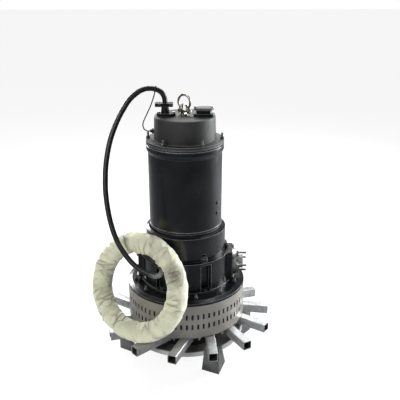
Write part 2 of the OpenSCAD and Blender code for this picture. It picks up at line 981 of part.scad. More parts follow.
module stator_windings() {
    color("peru")
        for (end = [0, 1])
            translate([0, 0, z_motor + core_up + end * core_l])
                mirror([0, 0, 1 - end])
                    rotate_extrude()
                        polygon([[winding_in, 0], [winding_out, 0],
                            [winding_out, winding_h - winding_chamfer],
                            [winding_out - winding_chamfer, winding_h],
                            [winding_in + winding_chamfer, winding_h],
                            [winding_in, winding_h - winding_chamfer]]);
}

module upper_bracket() {
    seat = z_gasket - bearing_drop;
    color("#26282b")
        difference() {
            union() {
                ring(motor_d / 2 - motor_wall - bolt_gap, shaft_tip_r + hub_wall,
                    z_gasket - upper_bracket_t, z_gasket);
                ring(hub_r, shaft_tip_r + hub_wall, seat - bearing_w,
                    z_gasket - upper_bracket_t + over);
            }
            translate([0, 0, seat - bearing_w - over])
                cylinder(r = bearing_r + run_gap, h = bearing_w + over);
            around(lead_hole_count, 0)
                translate([lead_hole_at, 0, z_gasket - upper_bracket_t - over])
                    cylinder(r = lead_hole_r, h = upper_bracket_t + 2 * over);
        }
}

// Heights of the lower ends of the two bearings
bearing_places = [z_motor + bearing_lift, z_gasket - bearing_drop - bearing_w];

// A race between two radii, with a groove that the balls run in
module race(outer, inner, low) {
    rotate_extrude()
        difference() {
            translate([inner, low])
                square([outer - inner, bearing_w]);
            translate([ball_ring_r, low + bearing_w / 2])
                circle(r = ball_r + run_gap);
        }
}

module bearing_outer_rings() {
    color("silver")
        for (low = bearing_places)
            race(bearing_r, bearing_r - race_t, low);
}

module bearing_inner_rings() {
    color("silver")
        for (low = bearing_places)
            race(shaft_d / 2 + run_gap + race_t, shaft_d / 2 + run_gap, low);
}

module bearing_balls() {
    color("white")
        for (low = bearing_places)
            around(ball_count, 0)
                translate([ball_ring_r, 0, low + bearing_w / 2])
                    sphere(r = ball_r, $fn = 16);
}

shaft_end = pan_clear + pan_t + shaft_end_up;
z_wheel = shaft_end + thread_l;

module shaft() {
    seal_low = z_wheel + wheel_h + neck_l;
    core_low = bearing_places[0] + bearing_w;
    color("silver")
        difference() {
            rotate_extrude()
                polygon([[0, shaft_end], [thread_r, shaft_end], [thread_r, z_wheel],
                    [wheel_seat_r, z_wheel], [wheel_seat_r, z_wheel + wheel_h],
                    [neck_r, z_wheel + wheel_h], [neck_r, seal_low], [shaft_d / 2, seal_low],
                    [shaft_d / 2, core_low], [core_seat_r, core_low],
                    [core_seat_r, bearing_places[1]], [shaft_d / 2, bearing_places[1]],
                    [shaft_d / 2, bearing_places[1] + bearing_w],
                    [shaft_tip_r, bearing_places[1] + bearing_w],
                    [shaft_tip_r, bearing_places[1] + bearing_w + shaft_tip_l],
                    [0, bearing_places[1] + bearing_w + shaft_tip_l]]);
            translate([wheel_seat_r - key_in, -key_w / 2 - run_gap, z_wheel + wheel_h - key_l])
                cube([2 * key_in, key_w + 2 * run_gap, key_l - key_in]);
        }
}

module rotor_core() {
    color("slategray")
        ring(rotor_d / 2, core_seat_r + run_gap, z_motor + core_up, z_motor + core_up + core_l);
}

module rotor_end_rings() {
    low = z_motor + core_up;
    color("lightgray") {
        ring(end_ring_out, end_ring_in, low - end_ring_h, low);
        ring(end_ring_out, end_ring_in, low + core_l, low + core_l + end_ring_h);
    }
}

// A blade bent backwards along an arc, from the hub to the rim of the wheel
module vane() {
    shift = vane_curve_r - wheel_hub_r + vane_t / 2;
    hub_turn = acos((wheel_hub_r ^ 2 - shift ^ 2 - vane_curve_r ^ 2)
        / (2 * shift * vane_curve_r));
    rim_turn = acos((wheel_r ^ 2 - shift ^ 2 - vane_curve_r ^ 2)
        / (2 * shift * vane_curve_r));
    translate([shift, 0, z_wheel + wheel_disc_t - over])
        rotate([0, 0, -hub_turn])
            rotate_extrude(angle = hub_turn - rim_turn - vane_t / 2)
                translate([vane_curve_r - vane_t / 2, 0])
                    square([vane_t, wheel_h - wheel_disc_t - wheel_top_gap + over]);
}

module impeller() {
    color("goldenrod")
        difference() {
            union() {
                cylinder(r = wheel_r, h = z_wheel + wheel_disc_t);
                cylinder(r = wheel_hub_r, h = z_wheel + wheel_h);
                for (k = [0:vane_count - 1])
                    rotate([0, 0, k * 360 / vane_count])
                        vane();
            }
            translate([0, 0, -over])
                cylinder(r = wheel_r + over, h = z_wheel + over);
            cylinder(r = wheel_seat_r + run_gap, h = z_wheel + wheel_h + over);
            translate([0, -key_w / 2 - run_gap, z_wheel - over])
                cube([wheel_seat_r + key_out + run_gap, key_w + 2 * run_gap,
                    wheel_h + 2 * over]);
        }
}

module impeller_key() {
    color("silver")
        translate([wheel_seat_r - key_in + run_gap, -key_w / 2,
                z_wheel + wheel_h - key_l + run_gap])
            cube([key_in + key_out - run_gap, key_w, key_l - key_in - 2 * run_gap]);
}

module impeller_nut() {
    color("silver")
        translate([0, 0, z_wheel - nut_h])
            difference() {
                hexagon(nut_across, nut_h);
                translate([0, 0, -over])
                    cylinder(r = thread_r + run_gap, h = nut_h + 2 * over);
            }
}

module cap_gasket() {
    color("#3a3a3a")
        difference() {
            ring(flange_d / 2, cap_d / 2 - cap_wall - cap_taper, z_gasket, z_cap);
            around(bolt_ring_count, bolt_ring_first)
                translate([cap_bolt_r, 0, 0])
                    bolt_hole(cap_bolt_m, z_gasket - over, z_cap + over);
        }
}

module top_cap() {
    foot_r = cap_d / 2;
    crown_r = foot_r - cap_taper;
    in_r = crown_r - cap_wall;
    color("#26282b")
        difference() {
            rotate_extrude()
                polygon(concat([[in_r, z_cap], [flange_d / 2, z_cap],
                    [flange_d / 2, z_cap_wall], [foot_r, z_cap_wall]],
                    [for (a = [0:15:90]) [crown_r - cap_round * (1 - cos(a)),
                        z_crown - cap_round * (1 - sin(a))]],
                    [[0, z_crown], [0, z_crown - cap_roof_t - eye_boss_h],
                    [eye_boss_r, z_crown - cap_roof_t - eye_boss_h],
                    [eye_boss_r, z_crown - cap_roof_t], [in_r, z_crown - cap_roof_t]]));
            around(bolt_ring_count, bolt_ring_first)
                translate([cap_bolt_r, 0, 0])
                    bolt_hole(cap_bolt_m, z_cap - over, z_cap_wall + over);
            translate([gland_x, gland_y, z_crown - cap_roof_t - over])
                cylinder(d = cable_d + 2 * bolt_gap, h = cap_roof_t + 2 * over);
            for (side = [-1, 1])
                translate([gland_foot_x + side * gland_screw_half, gland_y, 0])
                    bolt_hole(gland_screw_m, z_crown - cap_roof_t + over, z_crown + over);
            translate([spare_x, spare_y, z_crown - cap_roof_t - over])
                cylinder(r = spare_hole_r, h = cap_roof_t + 2 * over);
            translate([eye_x, 0, z_crown - eye_stem_l])
                cylinder(r = eye_stem_r + bolt_gap, h = eye_stem_l + over);
            rotate([0, 0, lead_gland_turn])
                translate([in_r - 2 * over, 0, lead_gland_z])
                    rotate([0, 90, 0])
                        cylinder(r = lead_hole + bolt_gap, h = 2 * cap_wall + cap_taper);
        }
}

module cap_bolts() {
    color("#303236")
        around(bolt_ring_count, bolt_ring_first)
            translate([cap_bolt_r, 0, 0]) {
                translate([0, 0, z_gasket - cap_stud_down + over])
                    cylinder(d = cap_bolt_m, h = z_cap_wall - z_gasket + cap_stud_down
                        + cap_stud_up - over, $fn = 24);
                translate([0, 0, z_cap_wall])
                    hex_nut(cap_bolt_m);
            }
}

module terminal_block() {
    color("sienna") {
        translate([-block_l / 2, -block_w / 2, z_gasket])
            cube([block_l, block_w, block_h]);
        for (x = [-1, 0, 1])
            for (y = [-1, 1])
                translate([x * post_step, y * block_w / 4, z_gasket + block_h - over])
                    cylinder(r = post_r, h = post_h + over, $fn = 24);
    }
}

module gland_body() {
    color("#303236")
        difference() {
            union() {
                translate([gland_foot_x, gland_y, z_crown])
                    linear_extrude(height = gland_foot_t)
                        oval(gland_foot_l, gland_foot_w);
                translate([gland_x, gland_y, 0])
                    rotate_extrude()
                        polygon([[0, z_crown + over], [gland_neck_r, z_crown + over],
                            [gland_neck_r, z_gland], [gland_top_r, z_clamp], [0, z_clamp]]);
            }
            translate([gland_x, gland_y, z_crown - over])
                cylinder(r = gland_seal_r, h = gland_seal_h + over);
            translate([gland_x, gland_y, z_crown])
                cylinder(d = cable_d + 2 * seat_gap, h = z_clamp - z_crown + over);
            for (side = [-1, 1])
                translate([gland_foot_x + side * gland_screw_half, gland_y, 0])
                    bolt_hole(gland_screw_m, z_crown - over, z_gland + over);
        }
}

module gland_seal() {
    color("#1a1a1a")
        translate([gland_x, gland_y, 0])
            ring(gland_seal_r - run_gap, cable_d / 2 + run_gap, z_crown,
                z_crown + gland_seal_h - run_gap);
}

module gland_screws() {
    color("silver")
        for (side = [-1, 1])
            translate([gland_foot_x + side * gland_screw_half, gland_y, z_gland])
                hex_bolt(gland_screw_m, gland_foot_t + cap_roof_t - 2 * over);
}

module at_clamp_bolts() {
    for (side = [-1, 1])
        translate([side * clamp_bolt_x, 0, clamp_h / 2])
            rotate([90, 0, 0])
                children();
}

// The two halves of the bar that grips the cable
module cable_clamp() {
    color("#303236")
        translate([gland_x, gland_y, z_clamp])
            difference() {
                translate([-clamp_left, -clamp_w / 2, 0])
                    cube([clamp_left + clamp_right, clamp_w, clamp_h]);
                translate([0, 0, -over])
                    cylinder(d = cable_d + 2 * run_gap, h = clamp_h + 2 * over);
                translate([-clamp_left - over, -clamp_slit / 2, -over])
                    cube([clamp_left + clamp_right + 2 * over, clamp_slit, clamp_h + 2 * over]);
                at_clamp_bolts()
                    bolt_hole(clamp_bolt_m, -clamp_w, clamp_w);
            }
}

module clamp_bolts() {
    color("silver")
        translate([gland_x, gland_y, z_clamp])
            at_clamp_bolts() {
                translate([0, 0, clamp_w / 2])
                    hex_bolt(clamp_bolt_m, clamp_w + clamp_bolt_m);
                translate([0, 0, -clamp_w / 2 - clamp_bolt_m * nut_share])
                    hex_nut(clamp_bolt_m);
            }
}

module spare_entry_neck() {
    color("#303236")
        translate([spare_x, spare_y, z_crown])
            difference() {
                union() {
                    linear_extrude(height = spare_foot_t)
                        oval(spare_foot_l, spare_foot_w);
                    linear_extrude(height = spare_foot_t + spare_neck_h)
                        oval(spare_neck_l, spare_neck_w);
                }
                translate([0, 0, -over])
                    cylinder(r = spare_hole_r, h = spare_foot_t + spare_neck_h + 2 * over);
            }
}

module spare_entry_cover() {
    color("#3b3d41")
        translate([spare_x, spare_y, z_crown + spare_foot_t + spare_neck_h])
            linear_extrude(height = spare_cover_t)
                oval(spare_cover_l, spare_cover_w);
}

module cover_screws() {
    color("silver")
        for (side = [-1, 1])
            translate([spare_x + side * cover_screw_half, spare_y,
                    z_crown + spare_foot_t + spare_neck_h + spare_cover_t])
                hexagon(cover_screw_m * across_share, cover_screw_m * head_share);
}

module lifting_eye() {
    color("silver")
        translate([eye_x, 0, 0]) {
            translate([0, 0, eye_z])
                rotate([0, 0, eye_turn])
                    rotate([0, 90, 0])
                        rotate_extrude()
                            translate([eye_r, 0])
                                circle(d = eye_wire);
            translate([0, 0, z_crown])
                cylinder(r = eye_collar_r, h = eye_collar_t);
            translate([0, 0, z_crown - eye_stem_l + over])
                cylinder(r = eye_stem_r, h = eye_stem_l);
        }
}

// The frame of the shackle: its pin lies along x and its bow stands up
module at_shackle() {
    translate([eye_x, 0, pin_z])
        rotate([0, 0, eye_turn])
            children();
}

module shackle_bow() {
    meet = acos(ear_at / bow_r);
    color("silver")
        at_shackle()
            difference() {
                union() {
                    translate([0, 0, bow_rise])
                        rotate([90, 0, 0])
                            rotate([0, 0, -meet])
                                rotate_extrude(angle = 180 + 2 * meet)
                                    translate([bow_r, 0])
                                        circle(d = bow_wire);
                    for (side = [-1, 1])
                        translate([side * ear_at, 0, 0]) {
                            cylinder(d = bow_wire, h = bow_rise - bow_r * sin(meet));
                            translate([0, 0, bow_rise - bow_r * sin(meet)])
                                sphere(d = bow_wire + seat_gap);
                            rotate([0, 90, 0])
                                cylinder(r = ear_r, h = ear_t, center = true);
                        }
                }
                rotate([0, 90, 0])
                    cylinder(r = pin_r + run_gap, h = 3 * ear_at, center = true);
            }
}

module shackle_pin() {
    reach = ear_at + ear_t / 2;
    color("silver")
        at_shackle()
            rotate([0, 90, 0]) {
                translate([0, 0, -reach - pin_end])
                    cylinder(r = pin_r, h = 2 * reach + pin_end + over);
                translate([0, 0, reach])
                    cylinder(r = pin_head_r, h = pin_head_t);
            }
}

lead_wall_r = cap_d / 2 + seat_gap
    - cap_taper * (lead_gland_z - lead_hex / 2 - z_cap_wall) / cap_h;
lead_end = [(lead_wall_r + lead_hex_t + lead_nose_l) * cos(lead_gland_turn),
    (lead_wall_r + lead_hex_t + lead_nose_l) * sin(lead_gland_turn), lead_gland_z];

module lead_gland() {
    color("#1a1a1a")
        rotate([0, 0, lead_gland_turn])
            translate([lead_wall_r, 0, lead_gland_z])
                rotate([0, 90, 0]) {
                    hexagon(lead_hex, lead_hex_t);
                    translate([0, 0, -cap_wall])
                        cylinder(r = lead_hole, h = cap_wall + over);
                    translate([0, 0, lead_hex_t - over])
                        cylinder(r = lead_nose_r, h = lead_nose_l + over);
                }
}

module cable_free() {
    color("#222222")
        tube(concat(cable_points, cable_lead_in,
            [2 * coil_path[0] - coil_path[1], coil_path[0]]), cable_d / 2, cable_sides, coil_out);
}

module cable_coil() {
    color("#222222")
        tube(coil_path, cable_d / 2, loop_sides, coil_out);
}

// The strip is wound over the coil, apart from the mouth where the cable comes out
module cable_wrap() {
    color("wheat")
        translate(coil_centre)
            rotate([0, 0, coil_yaw])
                rotate([0, 90 - coil_lean, 0])
                    rotate([0, 0, 90 + wrap_mouth_high])
                        rotate_extrude(angle = 360 - wrap_mouth_high + wrap_mouth_low)
                            translate([coil_d / 2, 0])
                                difference() {
                                    circle(d = wrap_d);
                                    circle(d = wrap_d - 2 * wrap_t);
                                }
}

module sensor_lead() {
    color("#222222")
        tube(concat(lead_points, [lead_end]), lead_d / 2, lead_sides, [0, 1, 0]);
}

// A band round the main cable that holds the start of the sensor lead
module lead_tie() {
    way = way_at(cable_points, tie_at);
    inner = cable_d / 2 + seat_gap;
    color("#1a1a1a")
        translate(cable_points[tie_at])
            rotate([0, acos(way[2]), atan2(way[1], way[0])])
                ring(inner + tie_t, inner, -tie_w / 2, tie_w / 2);
}

echo(coil_gap_to_itself = coil_self_gap);
feet();
bottom_pan();
diffuser_casing();
outlet_tubes();
diffuser_deck();
ring_bolts();
strainer();
stay_columns();
base_plate();
plate_bolts();
air_sleeve();
air_chamber();
chamber_bolts();
port_gaskets();
inlet_flange();
blank_flange();
port_bolts();
companion_flange();
companion_bolts();
oil_chamber();
oil_plug();
seal_seats();
seal_rings();
seal_spring();
lower_bracket();
motor_housing();
housing_plugs();
stator_core();
stator_windings();
upper_bracket();
bearing_outer_rings();
bearing_balls();
bearing_inner_rings();
shaft();
rotor_core();
rotor_end_rings();
impeller();
impeller_key();
impeller_nut();
cap_gasket();
top_cap();
cap_bolts();
terminal_block();
gland_body();
gland_seal();
gland_screws();
cable_clamp();
clamp_bolts();
spare_entry_neck();
spare_entry_cover();
cover_screws();
lifting_eye();
shackle_bow();
shackle_pin();
lead_gland();
cable_free();
cable_coil();
cable_wrap();
sensor_lead();
lead_tie();
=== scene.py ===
"""Submersible aerator pump: finishes, cables and the wrapped coil, round the fixed frame."""

import json
import math

import bmesh
import bpy
from bpy.props import FloatProperty, FloatVectorProperty, IntProperty, PointerProperty
from mathutils import Matrix, Vector, noise


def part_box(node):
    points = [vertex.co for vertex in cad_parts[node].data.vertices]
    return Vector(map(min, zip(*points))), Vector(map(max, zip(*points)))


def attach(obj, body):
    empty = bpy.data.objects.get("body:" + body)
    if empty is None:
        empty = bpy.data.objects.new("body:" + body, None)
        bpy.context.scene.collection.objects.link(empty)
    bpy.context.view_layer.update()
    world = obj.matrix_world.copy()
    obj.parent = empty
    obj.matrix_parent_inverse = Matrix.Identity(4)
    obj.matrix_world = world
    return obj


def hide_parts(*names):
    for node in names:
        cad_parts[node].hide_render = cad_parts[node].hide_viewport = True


bl_info = {
    "name": "Submersible aerator pump",
    "version": (1, 0, 0),
    "blender": (4, 5, 0),
    "location": "View3D > Sidebar > Aerator",
    "description": "Dresses the packed aerator pump with its finishes, cables and wrapped coil",
    "category": "Object",
}

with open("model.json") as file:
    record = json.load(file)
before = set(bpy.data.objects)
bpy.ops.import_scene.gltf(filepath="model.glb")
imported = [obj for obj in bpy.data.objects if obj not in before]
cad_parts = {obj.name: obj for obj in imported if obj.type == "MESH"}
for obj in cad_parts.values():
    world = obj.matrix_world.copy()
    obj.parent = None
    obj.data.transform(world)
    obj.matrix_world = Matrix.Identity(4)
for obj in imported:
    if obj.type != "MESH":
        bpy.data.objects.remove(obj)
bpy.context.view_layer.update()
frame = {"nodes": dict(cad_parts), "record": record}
NODES = frame["nodes"]
MM = 0.001

# The stage: a floor under the feet, what fills the shadows, the lamps and the photo's camera
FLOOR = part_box("feet")[0].z
FLOOR_HALF = 30
FLOOR_COLOUR, FLOOR_MIRRORED = (0.95, 0.95, 0.95), (0.2, 0.2, 0.21)
FLOOR_GLOW, FLOOR_GLOW_SHARE = 1.1, 0.8
WORLD_FILL = 0.20
WHITE = (1, 1, 1)
# Name, place, target, size in metres, power in watts and colour
LAMPS = (
    ("right_lamp", (2.9, 1.1, 1.3), (0, 0, 0.55), 1.6, 215, (0.97, 0.99, 1.0)),
    ("front_lamp", (-2.2, -3.2, 2.8), (0, 0, 0.4), 1.6, 95, WHITE),
    ("top_lamp", (0.1, 1.8, 3.0), (0, 0, 0.8), 2.4, 125, WHITE),
    ("back_lamp", (-1.7, 2.5, 1.5), (0, 0, 0.5), 1.0, 60, WHITE))
LENS, SENSOR, CLIP_END = 54.67, 36, 100
CAMERA_PLACE = (0, -2.5285, 1.6497)
CAMERA_DOWN, CAMERA_TURN = math.radians(20.33), math.radians(-1.45)

# The outlet tubes, in millimetres: wall, corner of the bore, depth and chamfers of the mouth's
# lip, slack and start of the dark sheet of painted shade in the bore, and the weld bead's place,
# half width and rise
TUBE_WALL = 3
BORE_CORNER = 1.2
LIP_DEPTH, LIP_CHAMFER, EDGE_CHAMFER = 12, 0.3, 0.4
SHADE_SHEET_SLACK, SHADE_SHEET_START = 0.3, 3
WELD_OUT, WELD_HALF, WELD_RISE = 56, 5, 4.4

# Bolts: the threads' pitch in millimetres, and the way that the air ports face
THREAD_PITCH = 1.6
PORT_TURN = math.radians(-4)
BOLT_CRISP, TUBE_CRISP = 25, 40

# The main cable's route, in millimetres
CABLE_POINTS = [
    (-82, -12, 1134), (-82, -12, 1154), (-84, -12, 1171), (-91, -12, 1187), (-104, -12, 1200),
    (-122, -13, 1208), (-146, -14, 1211), (-174, -18, 1206), (-202, -26, 1190),
    (-228, -36, 1167), (-250, -47, 1136), (-273, -60, 1097), (-293, -74, 1053),
    (-309, -88, 1008), (-320, -102, 961), (-328, -117, 910), (-331, -132, 858),
    (-331, -146, 812), (-327, -160, 767), (-320, -175, 722), (-310, -190, 680),
    (-297, -205, 640), (-280, -220, 604), (-261, -233, 574), (-242, -244, 550),
    (-219, -257, 528), (-193, -269, 510), (-165, -280, 498), (-137, -289, 490)]
CABLE_D = 22
LEAD_POINTS = [
    (-123, -13, 1195), (-132, -11, 1166), (-145, -8, 1132), (-159, -6, 1103),
    (-170, -5, 1080), (-177, -4, 1062), (-177, -3, 1047), (-171, -3, 1035),
    (-160, -3, 1029), (-148, -2.6, 1028)]
LEAD_D = 5

# The coil's own frame, and its turns
COIL_CENTRE = Vector((-204, -216, 396.5))
COIL_YAW, COIL_LEAN = math.radians(-121.6), math.radians(16.5)
COIL_OUT = Vector((math.cos(COIL_LEAN) * math.cos(COIL_YAW),
                   math.cos(COIL_LEAN) * math.sin(COIL_YAW), math.sin(COIL_LEAN)))
COIL_SIDE = Vector((-math.sin(COIL_YAW), math.cos(COIL_YAW), 0))
COIL_UP = COIL_OUT.cross(COIL_SIDE)
COIL_R = 193.5
COIL_TURNS = 5
COIL_STEP = 22.6
COIL_START = 104
COIL_SAMPLES = 20
# The cable's turn back and its way in under the strip, in the coil's frame
CABLE_TURN = [(109, 82, 50), (120, 88, 46), (126, 99, 40), (123, 110, 34), (114, 118, 28),
              (101, 122, 24), (85, 125, 21), (67, 131, 21), (46, 139, 20), (27, 146, 16),
              (9, 152, 12), (-7, 158, 10), (-24, 162, 11)]

# The strip round the coil: its radius, its mesh, its size laid flat, and how far each thing lifts
WRAP_R = 45.5
WRAP_ALONG, WRAP_AROUND = 640, 80
WRAP_LENGTH, WRAP_GIRTH = 1216, 286
WRAP_SLACK = 2.8
LAP_RISE, LAP_EDGE = 2.2, 0.04
CLOUD_RISE, DRAWN_RISE, PLEAT_RISE = 2.0, 1.8, 2.2
FOLD_DEPTH, FOLD_WIDTH = 2.6, 0.1
LIP_RISE, LIP_OUT, LIP_WIDTH = 5, 14, 5
# Points in the coil's frame: the strip's brown stain, and the cable's pale grey patch
STAIN_AT, PALE_PATCH_AT = (186, 100, 34), (160, 40, 30)


def in_coil(side, up, out):
    """A point of the coil's own frame, in millimetres of the row frame."""
    return COIL_CENTRE + side * COIL_SIDE + up * COIL_UP + out * COIL_OUT


def coil_point(t):
    """The coil's middle line after t turns: out to the middle of its run, then in again."""
    turn = math.radians(COIL_START + 360 * t)
    radius = COIL_R - COIL_STEP * COIL_TURNS / 4 + COIL_STEP * min(t, COIL_TURNS - t)
    climb = min(1, max(0, (t - COIL_TURNS / 2 + 0.25) / 0.5))
    return in_coil(radius * math.cos(turn), radius * math.sin(turn), COIL_STEP * (0.5 - climb))


class AERATOR_PG_settings(bpy.types.PropertyGroup):
    """Sizes and colours that a user would change."""

    paint_colour: FloatVectorProperty(
        name="Housing paint", description="Colour of the painted housings", subtype="COLOR",
        size=3, min=0, max=1, default=(0.0040, 0.0046, 0.0062))
    wrap_colour: FloatVectorProperty(
        name="Woven strip", description="Colour of the strip round the coil", subtype="COLOR",
        size=3, min=0, max=1, default=(0.74, 0.735, 0.55))
    wrap_laps: IntProperty(
        name="Laps", description="Turns of the strip round the whole bundle",
        default=19, min=6, max=60)
    tube_corner: FloatProperty(
        name="Tube corner", description="Outer corner radius of the outlet tubes",
        subtype="DISTANCE", unit="LENGTH", default=0.004, min=0.001, max=0.012)
    # Also sets the width of the painted edge highlights on the cast paints.
    edge_round: FloatProperty(
        name="Edge rounding", description="Rounding that light shows on cast edges",
        subtype="DISTANCE", unit="LENGTH", default=0.0015, min=0.0002, max=0.006)


class Signal:
    """The output of a shader node, with the sums that the finishes are written in."""

    def __init__(self, finish, socket):
        self.finish = finish
        self.socket = socket

    def _sum(self, operation, *terms):
        return self.finish.node("Math", {"operation": operation}, terms)

    def __add__(self, other):
        return self._sum("ADD", self, other)

    def __radd__(self, other):
        return self._sum("ADD", other, self)

    def __sub__(self, other):
        return self._sum("SUBTRACT", self, other)

    def __rsub__(self, other):
        return self._sum("SUBTRACT", other, self)

    def __mul__(self, other):
        return self._sum("MULTIPLY", self, other)

    def __rmul__(self, other):
        return self._sum("MULTIPLY", other, self)

    def wave(self):
        return self._sum("SINE", self)

    def clip(self):
        return self.finish.node("Clamp", {}, {"Value": self})

    def span(self, low, high):
        """0 below low, 1 above high and a straight ramp between them."""
        return self.finish.node("MapRange", {}, {"Value": self, "From Min": low, "From Max": high})


class Finish:
    """A material on one Principled surface, built node by node."""

    def __init__(self, name, **sockets):
        self.material = bpy.data.materials.new(name)
        self.material.use_nodes = True
        self.tree = self.material.node_tree
        self.tree.nodes.clear()
        self.surface = self.tree.nodes.new("ShaderNodeBsdfPrincipled")
        self.end = self.tree.nodes.new("ShaderNodeOutputMaterial")
        self.tree.links.new(self.surface.outputs[0], self.end.inputs["Surface"])
        self.set(**sockets)

    def feed(self, socket, value):
        if isinstance(value, Signal):
            self.tree.links.new(value.socket, socket)
        elif socket.type == "RGBA" and len(value) == 3:
            socket.default_value = (*value, 1)
        else:
            socket.default_value = value

    def set(self, **sockets):
        for key, value in sockets.items():
            self.feed(self.surface.inputs[key.replace("_", " ")], value)
        return self.material

    def node(self, kind, settings, inputs=(), output=0):
        """A node of this kind, its settings made first, then its sockets fed."""
        made = self.tree.nodes.new("ShaderNode" + kind)
        for name, value in settings.items():
            setattr(made, name, value)
        pairs = inputs.items() if isinstance(inputs, dict) else enumerate(inputs)
        for key, value in pairs:
            self.feed(made.inputs[key], value)
        return Signal(self, made.outputs[output])

    def here(self):
        return self.node("TexCoord", {}, output="Object")

    def stretch(self, scale):
        return self.node("VectorMath", {"operation": "MULTIPLY"}, (self.here(), scale))

    def noise(self, scale, detail=3.0, rough=0.5, at=None):
        return self.node("TexNoise", {}, {"Vector": at or self.here(), "Scale": scale,
                                          "Detail": detail, "Roughness": rough})

    def cells(self, scale):
        return self.node("TexVoronoi", {}, {"Vector": self.here(), "Scale": scale}, "Color")

    def mix(self, first, second, amount):
        return self.node("Mix", {"data_type": "RGBA"}, {0: amount, 6: first, 7: second}, 2)

    def rounded(self, radius):
        return self.node("Bevel", {"samples": 6}, {"Radius": radius})

    def edges(self, radius, gain):
        """1 on the part's sharp edges, fading to 0 within the radius."""
        flat = self.node("NewGeometry", {}, output="Normal")
        dot = self.node("VectorMath", {"operation": "DOT_PRODUCT"},
                        (self.rounded(radius), flat), "Value")
        return ((1 - dot) * gain).clip()

    def bump(self, height, distance, strength=1.0, normal=None):
        inputs = {"Height": height, "Distance": distance, "Strength": strength}
        if normal is not None:
            inputs["Normal"] = normal
        return self.node("Bump", {}, inputs)


def grey(value, tint=(1, 1, 1)):
    """A linear grey of this sRGB level from 0 to 255, tinted."""
    level = (value / 255) ** 2.2
    return tuple(level * part for part in tint)


def cast_paint(name, colour, edge, rough, grain=1.0):
    """Satin paint over a casting: fine orange peel, faint dust, and painted highlights on its
    edges.
    """
    f = Finish(name, Specular_IOR_Level=0.4)
    round_by = bpy.context.scene.aerator.edge_round
    # Painted highlight: the edge colour, laid in patches on the sharp edges, stands for light
    # catching the rims.
    edge_highlight = f.edges(round_by * 2.4, 3.5)
    dust = f.noise(6, 5, 0.6).span(0.45, 0.75)
    shade = f.mix(colour, tuple(min(1, 2.0 * c + 0.012) for c in colour), dust * 0.5)
    base = f.mix(shade, edge, edge_highlight * (0.35 + 0.5 * f.noise(60, 3)))
    peel = f.noise(420, 2) * 0.5 * grain + f.noise(90, 3) * 0.5
    return f.set(Base_Color=base,
                 Roughness=rough + f.noise(25, 4) * 0.16 + dust * 0.08,
                 Normal=f.bump(peel, 0.0006 * grain, 0.35, f.rounded(round_by)))


def bare_metal(name, colour, rough, tarnish=(0.25, 0.24, 0.22)):
    """Plated or bare metal with soft cloudy tarnish and rounded edges."""
    f = Finish(name, Metallic=1.0)
    cloud = f.noise(40, 5, 0.6)
    base = f.mix(colour, tarnish, cloud.span(0.45, 0.8) * 0.6)
    return f.set(Base_Color=base, Roughness=rough + cloud * 0.12,
                 Normal=f.bump(f.noise(300, 2), 0.0003, 0.3, f.rounded(0.0007)))


def galvanised(name):
    """Dull zinc with its spangle, chalky patches and a few dark specks."""
    f = Finish(name)
    spangle = f.node("SeparateXYZ", {}, (f.cells(110),), 0)
    chalk = f.noise(18, 6, 0.65).span(0.4, 0.7)
    base = f.mix(f.mix(grey(150, (0.97, 1, 1.02)), grey(186, (0.98, 1, 1.01)), spangle),
                 grey(212, (1, 1, 0.98)), chalk * 0.5)
    specks = f.noise(160, 3).span(0.66, 0.74)
    base = f.mix(base, grey(96), specks * 0.5)
    return f.set(Base_Color=base, Metallic=0.75, Roughness=0.36 + spangle * 0.1 + chalk * 0.15,
                 Normal=f.bump(spangle, 0.0001, 0.3, f.rounded(0.0008)))


def leg_paint():
    f = Finish("leg_paint")
    patch = f.noise(14, 6, 0.6).span(0.35, 0.7)
    base = f.mix(grey(84, (0.94, 1, 0.96)), grey(116, (0.96, 1, 0.98)), patch)
    # Painted highlight: lighter grey on the sharp edges.
    base = f.mix(base, grey(170), f.edges(0.002, 2) * 0.7)
    return f.set(Base_Color=base, Metallic=0.25, Roughness=0.42 + patch * 0.12,
                 Normal=f.bump(f.noise(200, 3), 0.0004, 0.3, f.rounded(0.001)))


def pan_steel():
    """Light grey rim, and a darker, cloudy brown inside: painted shade in the pan's hollow."""
    f = Finish("pan_steel")
    radius = f.node("VectorMath", {"operation": "LENGTH"}, (f.stretch((1, 1, 0)),), "Value")
    # Painted shade: inside the rim the colour turns to the darker brown.
    inside = 1 - radius.span(0.250, 0.2585)
    stain = f.noise(9, 6, 0.6)
    dull = f.mix(grey(132, (1.06, 1, 0.92)), grey(88, (1.1, 1, 0.88)), stain)
    base = f.mix(grey(186), dull, inside)
    return f.set(Base_Color=base, Metallic=0.3, Roughness=0.45 + stain * 0.25,
                 Normal=f.bump(f.noise(120, 3), 0.0004, 0.3, f.rounded(0.0012)))


def stainless():
    """Rolled stainless sheet: fine upright brushing, a warm grey cast, painted highlights on its
    edges and painted shade inside.
    """
    f = Finish("stainless", Metallic=0.6)
    brush = f.noise(60, 4, 0.6, f.stretch((22, 22, 1)))
    cloud = f.noise(7, 4)
    base = f.mix(grey(128, (1.05, 1, 0.9)), grey(176, (1.04, 1, 0.92)), cloud)
    # Painted highlight: pale grey on the sharp edges.
    base = f.mix(base, grey(215), f.edges(0.0012, 2) * 0.8)
    # Painted shade: inside the outer skin, the inner face and the slot walls are near black.
    low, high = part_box("strainer")
    skin = (high.x - low.x) / 2
    radius = f.node("VectorMath", {"operation": "LENGTH"}, (f.stretch((1, 1, 0)),), "Value")
    base = f.mix(grey(20), base, radius.span(skin - 0.0012, skin - 0.0004))
    return f.set(Base_Color=base, Roughness=0.3 + brush * 0.16,
                 Normal=f.bump(brush, 0.0002, 0.35, f.rounded(0.0006)))


